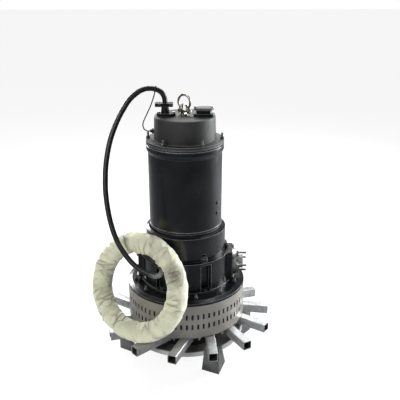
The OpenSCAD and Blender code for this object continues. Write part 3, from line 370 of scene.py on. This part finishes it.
def jacket(name, level):
    """Black cable rubber: a dull skin with faint scuffs along it."""
    f = Finish(name)
    scuff = f.noise(35, 5, 0.6)
    base = f.mix(grey(level), grey(level + 34), scuff.span(0.5, 0.8))
    # A pale grey patch, in specks, near where the cable goes into the wrap.
    near = f.node("VectorMath", {"operation": "DISTANCE"},
                  (f.here(), in_coil(*PALE_PATCH_AT) * MM), "Value")
    base = f.mix(base, grey(150), (1 - near.span(0.03, 0.1)) * f.noise(60, 3).span(0.2, 0.5))
    return f.set(Base_Color=base, Roughness=0.3 + scuff * 0.2,
                 Normal=f.bump(f.noise(260, 3), 0.0003, 0.35))


def woven_strip():
    """Woven plastic strip: flat yarns over and under, creased, with painted shade in the creases, a
    painted highlight on its right-facing edges, and a brown stain.
    """
    f = Finish("woven_wrap", Specular_IOR_Level=0.6)
    uv = f.node("UVMap", {"uv_map": "weave"}, output=0)
    across = f.node("SeparateXYZ", {}, (uv,), 0)
    along = f.node("SeparateXYZ", {}, (uv,), 1)
    yarns = (across * 2.2).wave() * (along * 2.2).wave()
    cloud = f.noise(11, 6, 0.6)
    fine = f.noise(110, 4, 0.6)
    waver = f.noise(9, 3) * 0.9
    slant = f.node("CombineXYZ", {}, (across * 0.03 + along * 0.006 + waver, along * 0.01, 0.0))
    cross = f.node("CombineXYZ", {}, (across * 0.02 - along * 0.02 + waver, along * 0.009, 5.0))
    folds = f.node("TexVoronoi", {}, {"Vector": slant, "Scale": 1.0}, "Distance")
    tucks = f.node("TexVoronoi", {}, {"Vector": cross, "Scale": 1.0}, "Distance")
    crease = folds * 0.6 + tucks * 0.4
    lines = f.node("TexVoronoi", {"feature": "DISTANCE_TO_EDGE"}, {"Vector": slant, "Scale": 1.0},
                   "Distance")
    valley = (1 - lines * 9).clip() * f.noise(14, 2).span(0.44, 0.62)
    colour = tuple(bpy.context.scene.aerator.wrap_colour)
    pale = tuple(min(1, 1.25 * c + 0.02) for c in colour)
    dull = (0.62 * colour[0], 0.64 * colour[1], 0.60 * colour[2])
    # Painted shade: paler on the ridges and darker down the creases; the cloud part is the strip's
    # own tone.
    base = f.mix(pale, dull, crease * 0.45 + cloud * 0.35)
    base = f.mix(base, pale, (yarns * 0.5 + 0.5) * 0.25)
    # Painted shade: dark brownish lines along the crease valleys.
    base = f.mix(base, grey(120, (1.15, 1, 0.8)), valley * 0.34)
    # Painted highlight: a pale sheen on the edges seen edge-on that face right.
    rim = f.node("LayerWeight", {}, {"Blend": 0.45}, "Facing")
    right = f.node("SeparateXYZ", {}, (f.node("NewGeometry", {}, output="Normal"),), 0)
    base = f.mix(base, (0.9, 0.89, 0.84), rim.span(0.35, 0.9) * right.span(0.1, 0.8))
    near = f.node("VectorMath", {"operation": "DISTANCE"},
                  (f.here(), in_coil(*STAIN_AT) * MM), "Value")
    stain = (1 - near.span(0.006, 0.066)) * fine.span(0.25, 0.5)
    base = f.mix(base, grey(108, (1.2, 1, 0.74)), stain * 0.9)
    return f.set(Base_Color=base, Roughness=0.42 + cloud * 0.25,
                 Normal=f.bump(valley * -0.25 - crease + fine * 0.05 + yarns * 0.02, 0.026, 1.0))


def plain(name, colour, rough=0.5, metallic=0.0):
    """A finish for pieces inside the housings, with a little grain."""
    f = Finish(name, Metallic=metallic)
    grain = f.noise(80, 3)
    return f.set(Base_Color=f.mix(colour, tuple(0.75 * c for c in colour), grain),
                 Roughness=rough + grain * 0.1, Normal=f.bump(grain, 0.0003, 0.3))


def make_finishes():
    paint = tuple(bpy.context.scene.aerator.paint_colour)
    return {
        # In each cast paint the second colour is its painted edge highlight.
        "black_paint": cast_paint("black_paint", paint, grey(190, (0.97, 1, 1.03)), 0.13),
        "cap_paint": cast_paint("cap_paint", grey(42), grey(190, (0.97, 1, 1.03)), 0.5, 2.2),
        "cover_paint": cast_paint("cover_paint", grey(82), grey(150), 0.5),
        "flange_paint": cast_paint("flange_paint", tuple(0.7 * c for c in paint), grey(130), 0.22),
        "cast_dark": cast_paint("cast_dark", grey(46), grey(96), 0.45),
        "dark_bolt": cast_paint("dark_bolt", grey(42), grey(120), 0.36),
        "galvanised": galvanised("galvanised"),
        "leg_paint": leg_paint(),
        "pan_steel": pan_steel(),
        "stainless": stainless(),
        "zinc": bare_metal("zinc", grey(172), 0.36),
        "lifting_steel": bare_metal("lifting_steel", grey(160, (1, 0.97, 0.86)), 0.3,
                                    tarnish=(0.09, 0.075, 0.05)),
        "gasket": plain("gasket", grey(34), 0.6),
        "seal_face": plain("seal_face", grey(90), 0.2, 1.0),
        "spring_steel": bare_metal("spring_steel", grey(200), 0.25),
        "lamination": bare_metal("lamination", grey(150), 0.4),
        "copper_winding": plain("copper_winding", (0.55, 0.22, 0.08), 0.35, 0.6),
        "cast_aluminium": bare_metal("cast_aluminium", grey(200), 0.45),
        "bearing_steel": bare_metal("bearing_steel", grey(215), 0.12),
        "shaft_steel": bare_metal("shaft_steel", grey(190), 0.24),
        "bronze": bare_metal("bronze", (0.52, 0.34, 0.14), 0.36),
        "terminal_board": plain("terminal_board", grey(70, (1.2, 0.9, 0.7)), 0.45),
        "cable_jacket": jacket("cable_jacket", 15),
        "woven_wrap": woven_strip(),
    }


FINISHES = {}

# Nodes whose finish looks different from the rest of their slot
OWN_FINISH = {"top_cap": "cap_paint", "spare_entry_cover": "cover_paint",
              "clamp_bolts": "dark_bolt"}


def new_piece(name, points, faces, slot, body="pump", nodes=()):
    """A mesh piece from points in millimetres, with its finish, its body and what it replaces."""
    mesh = bpy.data.meshes.new(name)
    mesh.from_pydata([tuple(MM * c for c in p) for p in points], [], faces)
    mesh.validate()
    mesh.update()
    piece = bpy.data.objects.new(name, mesh)
    bpy.context.scene.collection.objects.link(piece)
    for polygon in mesh.polygons:
        polygon.use_smooth = True
    return settle(piece, slot, body, nodes)


def settle(piece, slot, body="pump", nodes=()):
    piece.data.materials.append(FINISHES[slot])
    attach(piece, body)
    if nodes:
        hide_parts(*nodes)
    return piece


class Shape:
    """Points and faces of one piece, gathered in millimetres."""

    def __init__(self):
        self.points = []
        self.faces = []
        self.place = Matrix.Identity(4)

    def loft(self, rings, caps=(True, True)):
        """A skin through rings of equally many points, with flat ends where asked."""
        first, count = len(self.points), len(rings[0])
        for ring in rings:
            self.points += [self.place @ Vector(p) for p in ring]
        for i in range(len(rings) - 1):
            low = first + i * count
            for k in range(count):
                after = (k + 1) % count
                self.faces.append((low + k, low + after, low + count + after, low + count + k))
        if caps[0]:
            self.faces.append(tuple(first + k for k in reversed(range(count))))
        if caps[1]:
            self.faces.append(tuple(len(self.points) - count + k for k in range(count)))

    def lathe(self, profile, sides=32, caps=(True, True)):
        """A turned piece from (radius, height) pairs."""
        self.loft([[(r * math.cos(a), r * math.sin(a), z)
                    for a in (2 * math.pi * k / sides for k in range(sides))]
                   for r, z in profile], caps)

    def hexagon(self, across, low, high, both=False):
        """A hexagon with the round chamfer of a turned bar, corners along x."""
        rings, crown = [], across * 0.475
        reach = [across / 2 / math.cos(math.radians((15 * k + 30) % 60 - 30)) for k in range(24)]
        turn = [math.radians(15 * k) for k in range(24)]

        def ring(radii, heights):
            rings.append([(r * math.cos(a), r * math.sin(a), z)
                          for r, a, z in zip(radii, turn, heights)])
        drop = [(r - crown) * 0.577 for r in reach]
        if both:
            ring([crown] * 24, [low] * 24)
            ring(reach, [low + d for d in drop])
        else:
            ring(reach, [low] * 24)
        ring(reach, [high - d for d in drop])
        ring([crown] * 24, [high] * 24)
        self.loft(rings)

    def thread(self, diameter, low, high, pitch):
        """A threaded end: a rounded ridge for each pitch, and a chamfered tip."""
        profile, z, depth = [], low, pitch * 0.55
        while z < high - pitch * 1.4:
            profile += [(diameter / 2, z), (diameter / 2 - depth, z + pitch / 2)]
            z += pitch
        profile += [(diameter / 2, z), (diameter / 2 - depth, high)]
        self.lathe(profile, 24)

    def piece(self, name, slot, body="pump", nodes=()):
        return new_piece(name, self.points, self.faces, slot, body, nodes)


def islands(node):
    """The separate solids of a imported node, each as points in millimetres."""
    mesh = NODES[node].data
    places = {}
    key_of = []
    for vertex in mesh.vertices:
        key = tuple(round(c, 6) for c in vertex.co)
        key_of.append(places.setdefault(key, len(places)))
    parent = list(range(len(places)))

    def root(i):
        while parent[i] != i:
            parent[i] = parent[parent[i]]
            i = parent[i]
        return i
    for edge in mesh.edges:
        a, b = (root(key_of[v]) for v in edge.vertices)
        parent[a] = b
    groups = {}
    for key, i in places.items():
        groups.setdefault(root(i), []).append(Vector(key) / MM)
    return list(groups.values())


def axes_at(middle, axis, corner):
    """A place with its z along axis and its x towards corner."""
    z = axis.normalized()
    x = (corner - z * corner.dot(z)).normalized()
    y = z.cross(x)
    place = Matrix.Identity(4)
    for k, column in enumerate((x, y, z, middle)):
        for row in range(3):
            place[row][k] = column[row]
    return place


def fasten(shape, points, axis, pitch):
    """A bolt, nut or stud with its chamfers and threads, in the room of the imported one."""
    middle = sum(points, Vector()) / len(points)
    flat = [p - middle - axis * (p - middle).dot(axis) for p in points]
    far = max(v.length for v in flat)
    corners = [i for i, v in enumerate(flat) if v.length > 0.985 * far]
    heights = [(p - middle).dot(axis) for p in points]
    low, high = min(heights), max(heights)
    shape.place = axes_at(middle, axis, flat[corners[0]])
    back = shape.place.inverted()
    spots = [back @ points[i] for i in corners]
    directions = {round(math.degrees(math.atan2(p.y, p.x))) % 360 for p in spots}
    if len(directions) > 8:
        shape.thread(2 * far, low, high, pitch)
        return
    head = [heights[i] for i in corners]
    across = 2 * far * math.cos(math.radians(30))
    inner = [v.length for v in flat if v.length < 0.8 * far]
    shape.hexagon(across, min(head), max(head), both=low > min(head) - 0.01)
    if low < min(head) - 0.01:
        shank = max(inner) if inner else far / 2
        shape.thread(2 * shank, low, min(head), pitch)
    if high > max(head) + 0.01:
        shape.thread(2 * max(inner), max(head), high, pitch)


def sharpen(piece, angle):
    """Edges over this angle, in degrees, stay crisp."""
    mesh = piece.data
    work = bmesh.new()
    work.from_mesh(mesh)
    bmesh.ops.recalc_face_normals(work, faces=work.faces)
    for edge in work.edges:
        if len(edge.link_faces) == 2 and edge.calc_face_angle() > math.radians(angle):
            edge.smooth = False
    work.to_mesh(mesh)
    work.free()
    return piece


def curve_piece(name, points, diameter, slot, nodes):
    """A round cord along a smooth curve through points in millimetres."""
    curve = bpy.data.curves.new(name, "CURVE")
    curve.dimensions = "3D"
    curve.bevel_depth = diameter * MM / 2
    curve.bevel_resolution = 6
    curve.use_fill_caps = True
    line = curve.splines.new("BEZIER")
    line.resolution_u = 5
    line.bezier_points.add(len(points) - 1)
    for place, point in zip(line.bezier_points, points):
        place.co = Vector(point) * MM
        place.handle_left_type = "AUTO"
        place.handle_right_type = "AUTO"
    piece = bpy.data.objects.new(name, curve)
    bpy.context.scene.collection.objects.link(piece)
    return settle(piece, slot, "pump", nodes)


class AERATOR_OT_stage(bpy.types.Operator):
    """Set up the pale floor, the white surroundings, the lamps and the camera"""

    bl_idname = "aerator.stage"
    bl_label = "Stage"

    def execute(self, context):
        scene = context.scene
        scene.view_settings.view_transform = "Standard"
        self.surroundings(scene)
        self.floor(scene)
        for lamp in LAMPS:
            self.lamp(*lamp)
        self.camera(scene)
        return {"FINISHED"}

    def surroundings(self, scene):
        world = bpy.data.worlds.new("studio")
        scene.world = world
        world.use_nodes = True
        tree = world.node_tree
        path = tree.nodes.new("ShaderNodeLightPath")
        seen = tree.nodes.new("ShaderNodeMath")
        seen.operation = "MAXIMUM"
        tree.links.new(path.outputs["Is Camera Ray"], seen.inputs[0])
        tree.links.new(path.outputs["Is Transmission Ray"], seen.inputs[1])
        level = tree.nodes.new("ShaderNodeMapRange")
        level.inputs["To Min"].default_value = WORLD_FILL
        level.inputs["To Max"].default_value = 1.0
        tree.links.new(seen.outputs[0], level.inputs["Value"])
        sky = tree.nodes["Background"]
        sky.inputs["Color"].default_value = (*WHITE, 1)
        tree.links.new(level.outputs[0], sky.inputs["Strength"])

    def floor(self, scene):
        mesh = bpy.data.meshes.new("floor")
        corners = ((-1, -1), (1, -1), (1, 1), (-1, 1))
        mesh.from_pydata([(x * FLOOR_HALF, y * FLOOR_HALF, FLOOR) for x, y in corners], [],
                         [(0, 1, 2, 3)])
        floor = bpy.data.objects.new("floor", mesh)
        scene.collection.objects.link(floor)
        paper = Finish("floor_paper", Roughness=0.9)
        glossy = paper.node("LightPath", {}, output="Is Glossy Ray")
        paper.set(Base_Color=paper.mix(FLOOR_COLOUR, FLOOR_MIRRORED, glossy))
        glow = paper.tree.nodes.new("ShaderNodeEmission")
        glow.inputs["Strength"].default_value = FLOOR_GLOW
        blend = paper.tree.nodes.new("ShaderNodeMixShader")
        camera = paper.node("LightPath", {}, output="Is Camera Ray")
        paper.feed(blend.inputs[0], camera * FLOOR_GLOW_SHARE)
        paper.tree.links.new(paper.surface.outputs[0], blend.inputs[1])
        paper.tree.links.new(glow.outputs[0], blend.inputs[2])
        paper.tree.links.new(blend.outputs[0], paper.end.inputs["Surface"])
        mesh.materials.append(paper.material)

    def lamp(self, name, place, target, size, power, colour):
        light = bpy.data.lights.new(name, "AREA")
        light.shape = "SQUARE"
        light.size = size
        light.energy = power
        light.color = colour
        lamp = bpy.data.objects.new(name, light)
        lamp.location = place
        lamp.rotation_euler = (Vector(target) - Vector(place)).to_track_quat("-Z", "Y").to_euler()
        bpy.context.scene.collection.objects.link(lamp)

    def camera(self, scene):
        data = bpy.data.cameras.new("camera")
        data.sensor_width = SENSOR
        data.lens = LENS
        data.clip_end = CLIP_END
        camera = bpy.data.objects.new("camera", data)
        camera.location = CAMERA_PLACE
        camera.rotation_euler = (math.pi / 2 - CAMERA_DOWN, 0, CAMERA_TURN)
        scene.collection.objects.link(camera)
        scene.camera = camera


class AERATOR_OT_finishes(bpy.types.Operator):
    """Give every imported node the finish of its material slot"""

    bl_idname = "aerator.finishes"
    bl_label = "Finishes"

    def execute(self, context):
        FINISHES.update(make_finishes())
        for part in frame["record"]["subparts"]:
            node = NODES[part["node"]]
            node.data.materials.clear()
            look = OWN_FINISH.get(part["node"], part["material_slot"])
            node.data.materials.append(FINISHES[look])
        return {"FINISHED"}


class AERATOR_OT_tubes(bpy.types.Operator):
    """Make the outlet tubes with rolled corners, painted shade in each bore and weld beads at their
    roots
    """

    bl_idname = "aerator.tubes"
    bl_label = "Outlet tubes"

    def execute(self, context):
        corner = context.scene.aerator.tube_corner / MM
        tubes, bore_shade, welds = Shape(), Shape(), Shape()
        for points in islands("outlet_tubes"):
            self.tube(points, corner, tubes, bore_shade, welds)
        sharpen(tubes.piece("square_tubes", "galvanised", "pump", ("outlet_tubes",)), TUBE_CRISP)
        bore_shade.piece("tube_bore_shade", "cast_dark")
        welds.piece("tube_welds", "galvanised")
        return {"FINISHED"}

    def tube(self, points, corner, tubes, bore_shade, welds):
        """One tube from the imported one's points: its way out, its mouth, and its three shapes."""
        low, high = min(p.z for p in points), max(p.z for p in points)
        size = high - low
        level = [p for p in points if p.z > high - 0.01]
        far = max(level, key=lambda p: p.xy.length)
        along = max((p - far for p in level), key=lambda d: d.length)
        side = [p for p in level if abs((p - far).length - size) < 0.1]
        way = -(side[0] - far).cross(Vector((0, 0, 1))).normalized()
        if way.dot(along) > 0:
            way = -way
        reach = max(-(p - far).dot(way) for p in level)
        mouth = (far + side[0]) / 2 - Vector((0, 0, size / 2))
        bore = size - 2 * TUBE_WALL
        for shape in (tubes, bore_shade, welds):
            shape.place = axes_at(mouth, way, Vector((0, 0, 1)))
        outer, inner = self.square(size, corner), self.square(bore, BORE_CORNER)
        inner_lip = self.square(bore + 2 * LIP_CHAMFER, BORE_CORNER + 0.2)
        outer_lip = self.square(size - 2 * EDGE_CHAMFER, corner)
        tubes.loft([self.at(inner, -LIP_DEPTH), self.at(inner, -EDGE_CHAMFER),
                    self.at(inner_lip, 0), self.at(outer_lip, 0), self.at(outer, -0.5),
                    self.at(outer, -reach)],
                   (False, False))
        # Painted shade: a dark sheet just inside the bore, closed at its far end, stands for the
        # shade down the hollow tube.
        shade_sheet = self.square(bore - SHADE_SHEET_SLACK, BORE_CORNER)
        bore_shade.loft([self.at(shade_sheet, -SHADE_SHEET_START), self.at(shade_sheet, -reach)], (False, True))
        welds.loft([self.weld_ring(k / 3 - 1, size, corner, reach) for k in range(7)],
                   (False, False))

    def weld_ring(self, share, size, corner, reach):
        """One ring of the bead, from -1 at its inner edge to 1 at its outer edge."""
        swell = WELD_RISE * math.sin(math.pi * (share + 1) / 2)
        return self.at(self.square(size + swell - 2 * EDGE_CHAMFER, corner),
                       WELD_OUT - reach + WELD_HALF * share)

    @staticmethod
    def square(size, corner, steps=4):
        half = size / 2 - corner
        ring = []
        for k, (x, y) in enumerate(((1, 1), (-1, 1), (-1, -1), (1, -1))):
            for step in range(steps + 1):
                turn = math.pi / 2 * (k + step / steps)
                ring.append((x * half + corner * math.cos(turn),
                             y * half + corner * math.sin(turn)))
        return ring

    @staticmethod
    def at(ring, z):
        return [(x, y, z) for x, y in ring]


class AERATOR_OT_fasteners(bpy.types.Operator):
    """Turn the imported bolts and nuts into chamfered, threaded ones"""

    bl_idname = "aerator.fasteners"
    bl_label = "Fasteners"

    def execute(self, context):
        up = Vector((0, 0, 1))
        for node in ("ring_bolts", "plate_bolts", "cap_bolts", "chamber_bolts", "gland_screws"):
            self.group(node, lambda middle: up)
        self.group("clamp_bolts", lambda middle: Vector((0, -1, 0)))
        outwards = Vector((math.cos(PORT_TURN), math.sin(PORT_TURN), 0))
        for node in ("port_bolts", "companion_bolts"):
            self.group(node, lambda middle: outwards if middle.dot(outwards) > 0 else -outwards)
        return {"FINISHED"}

    def group(self, node, axis_at):
        shape = Shape()
        for points in islands(node):
            middle = sum(points, Vector()) / len(points)
            fasten(shape, points, axis_at(middle), THREAD_PITCH)
        packed = {part["node"]: part["material_slot"] for part in frame["record"]["subparts"]}
        slot = OWN_FINISH.get(node, packed[node])
        sharpen(shape.piece("made_" + node, slot, "pump", (node,)), BOLT_CRISP)


class AERATOR_OT_cables(bpy.types.Operator):
    """Lay the main cable with its coil, and the thin sensor lead"""

    bl_idname = "aerator.cables"
    bl_label = "Cables"

    def execute(self, context):
        turns = [coil_point(k / COIL_SAMPLES) for k in range(COIL_TURNS * COIL_SAMPLES + 1)]
        route = [Vector(p) for p in CABLE_POINTS] + [in_coil(*p) for p in CABLE_TURN] + turns
        cable = curve_piece("main_cable", route, CABLE_D, "cable_jacket",
                            ("cable_free", "cable_coil"))
        lead = curve_piece("thin_lead", LEAD_POINTS, LEAD_D, "cable_jacket", ("sensor_lead",))
        return {"FINISHED"}


class AERATOR_OT_wrap(bpy.types.Operator):
    """Wind the woven strip round the coil, in lapped turns with creases and folds"""

    bl_idname = "aerator.wrap"
    bl_label = "Coil wrap"

    def execute(self, context):
        laps = context.scene.aerator.wrap_laps
        self.cable = self.cable_run()
        points = [self.surface_point(360 * i / WRAP_ALONG, 360 * k / WRAP_AROUND, laps)
                  for i in range(WRAP_ALONG) for k in range(WRAP_AROUND)]
        weave, faces = [], []
        for i in range(WRAP_ALONG):
            low, high = i * WRAP_AROUND, (i + 1) % WRAP_ALONG * WRAP_AROUND
            for k in range(WRAP_AROUND):
                after = (k + 1) % WRAP_AROUND
                faces.append((low + k, low + after, high + after, high + k))
                weave += [(u * WRAP_LENGTH / WRAP_ALONG, v * WRAP_GIRTH / WRAP_AROUND)
                          for u, v in ((i, k), (i, k + 1), (i + 1, k + 1), (i + 1, k))]
        wrap = new_piece("coil_wrap", points, faces, "woven_wrap", nodes=("cable_wrap",))
        layer = wrap.data.uv_layers.new(name="weave")
        for loop, place in zip(layer.data, weave):
            loop.uv = place
        return {"FINISHED"}

    def cable_run(self):
        """Where the cable slips in through the skin: its turn, and its place in the section."""
        run = []
        for a, b in zip(CABLE_TURN, CABLE_TURN[1:]):
            for k in range(6):
                side, up, out = Vector(a).lerp(Vector(b), k / 6)
                place = (math.hypot(side, up) - COIL_R, out)
                if 30 < math.hypot(*place) < WRAP_R:
                    run.append((math.degrees(math.atan2(up, side)), place))
        return run

    def surface_point(self, turn, side, laps):
        """A point of the strip's skin: lapped edges, drawn creases, folds, and pleats inside."""
        a, v = math.radians(turn), math.radians(side)
        spin = (math.cos(v), math.sin(v))
        drift = noise.noise(Vector((math.cos(a), math.sin(a), 0)) * 2.2) * 0.35
        phase = (turn / 360 * laps + side / 360 + drift) % 1
        lap = LAP_RISE * (phase if phase < 1 - LAP_EDGE else (1 - phase) / LAP_EDGE)
        loop = Vector((math.cos(a), math.sin(a), 0)) * 3.4
        cloud = noise.noise(loop + Vector((0, 0, 0.8 * spin[0] + 1.6 * spin[1])))
        slant = turn / 360 * 9 + side / 360
        drawn = noise.noise(loop * 3.2 + Vector((0, 0, 0.9 * math.sin(slant * 2 * math.pi))))
        fold = abs(noise.noise(loop * 2.3 + Vector((4 + spin[0], spin[1], 7.3))))
        inner = max(0.0, -spin[0]) ** 1.5
        pleat = inner * noise.noise(loop * 9 + Vector((0, 0, 2.1)))
        valley = FOLD_DEPTH * max(0, FOLD_WIDTH - fold) / FOLD_WIDTH
        radius = (WRAP_R - WRAP_SLACK + lap + CLOUD_RISE * cloud + DRAWN_RISE * drawn
                  + PLEAT_RISE * pleat - valley)
        radius = self.over_cable(turn, spin, radius)
        ring = COIL_R + radius * spin[0]
        return in_coil(ring * math.cos(a), ring * math.sin(a), radius * spin[1])

    def over_cable(self, turn, spin, radius):
        """The skin lifted into a lip where the cable slips in."""
        best = radius
        for at, place in self.cable:
            gap = (turn - at) * math.pi / 180 * COIL_R
            apart = math.hypot(gap, math.hypot(radius * spin[0] - place[0],
                                               radius * spin[1] - place[1]))
            best = max(best, radius + LIP_RISE * math.exp(-((apart - LIP_OUT) / LIP_WIDTH) ** 2))
        return best


OPERATORS = (AERATOR_OT_stage, AERATOR_OT_finishes, AERATOR_OT_tubes, AERATOR_OT_fasteners,
             AERATOR_OT_wrap, AERATOR_OT_cables)


class AERATOR_PT_panel(bpy.types.Panel):
    """The steps that dress the pump"""

    bl_label = "Aerator pump"
    bl_idname = "AERATOR_PT_panel"
    bl_space_type = "VIEW_3D"
    bl_region_type = "UI"
    bl_category = "Aerator"

    def draw(self, context):
        for name in AERATOR_PG_settings.__annotations__:
            self.layout.prop(context.scene.aerator, name)
        for step in OPERATORS:
            self.layout.operator(step.bl_idname)


def register():
    for item in (AERATOR_PG_settings, *OPERATORS, AERATOR_PT_panel):
        bpy.utils.register_class(item)
    bpy.types.Scene.aerator = PointerProperty(type=AERATOR_PG_settings)


def unregister():
    del bpy.types.Scene.aerator
    for item in reversed((AERATOR_PG_settings, *OPERATORS, AERATOR_PT_panel)):
        bpy.utils.unregister_class(item)


def main():
    register()
    for step in OPERATORS:
        group, name = step.bl_idname.split(".")
        getattr(getattr(bpy.ops, group), name)()


if __name__ == "__main__":
    main()
